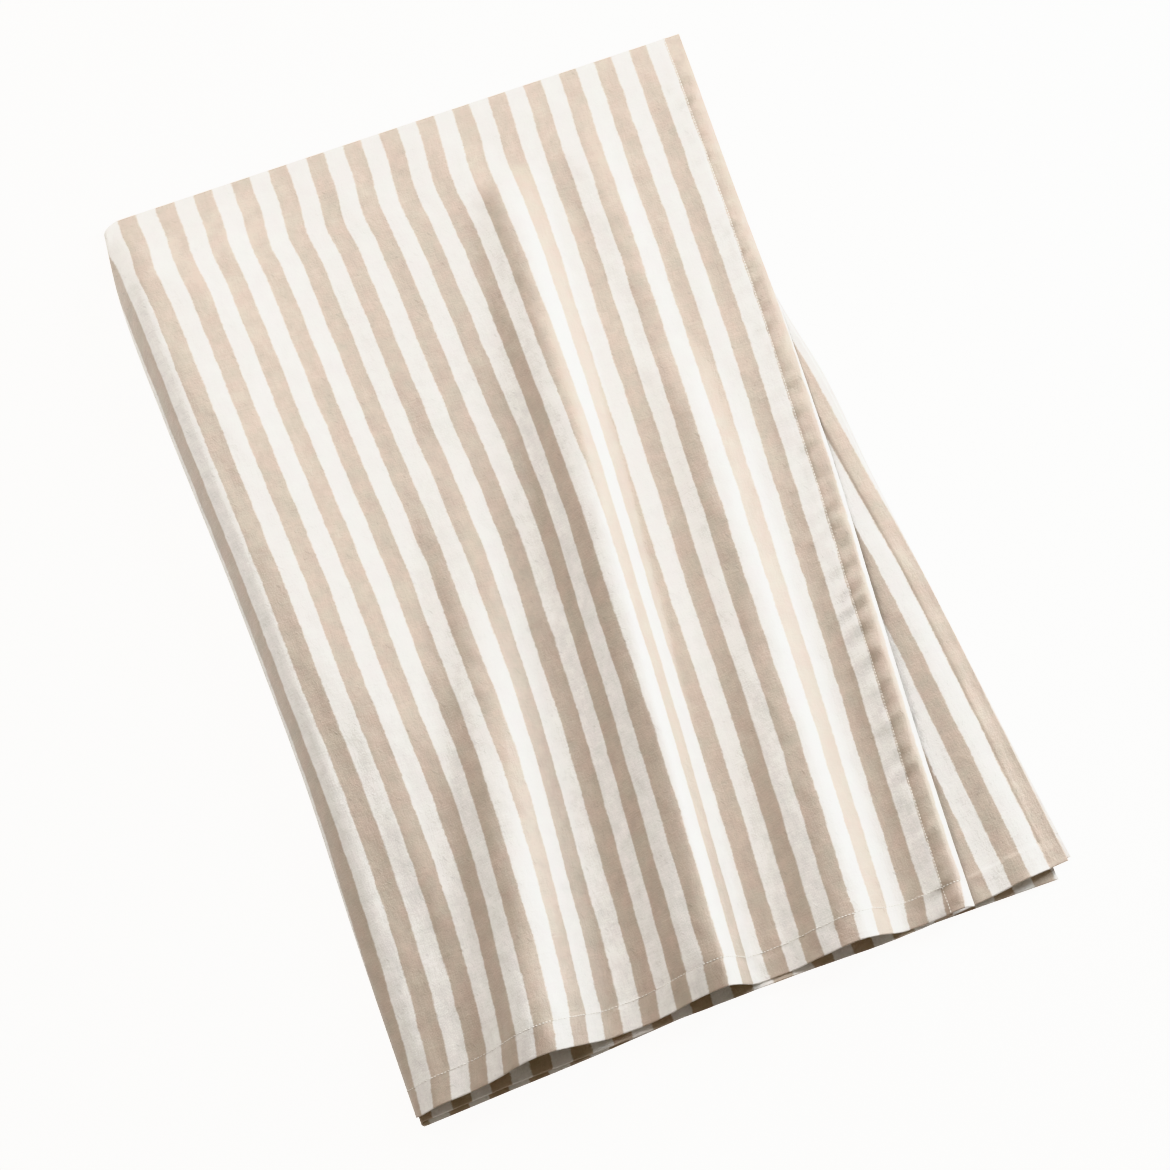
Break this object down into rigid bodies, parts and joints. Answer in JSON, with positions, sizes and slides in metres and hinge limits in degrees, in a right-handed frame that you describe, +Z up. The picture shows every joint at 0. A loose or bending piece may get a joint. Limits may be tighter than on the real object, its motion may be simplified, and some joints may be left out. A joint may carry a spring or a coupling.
{
  "type": "folded striped tablecloth",
  "caption": "Striped cotton and linen tablecloth, folded in quarters and lying loosely, with soft waves in its top layer and a lower layer fanned out to one side.",
  "frame": {"origin": "middle of the folded cloth's outline, on the surface it lies on", "axes": "+Z up from the surface, +Y along the stripes towards the crosswise fold, +X across the stripes from the lengthwise fold to the side hems"},
  "size_m": [0.8206, 1.17, 0.0745],
  "materials": {
    "cloth": "matt plain weave in beige and white yarn-dyed stripes"
  },
  "bodies": {
    "root": {"tablecloth": "cloth"}
  },
  "joints": []
}
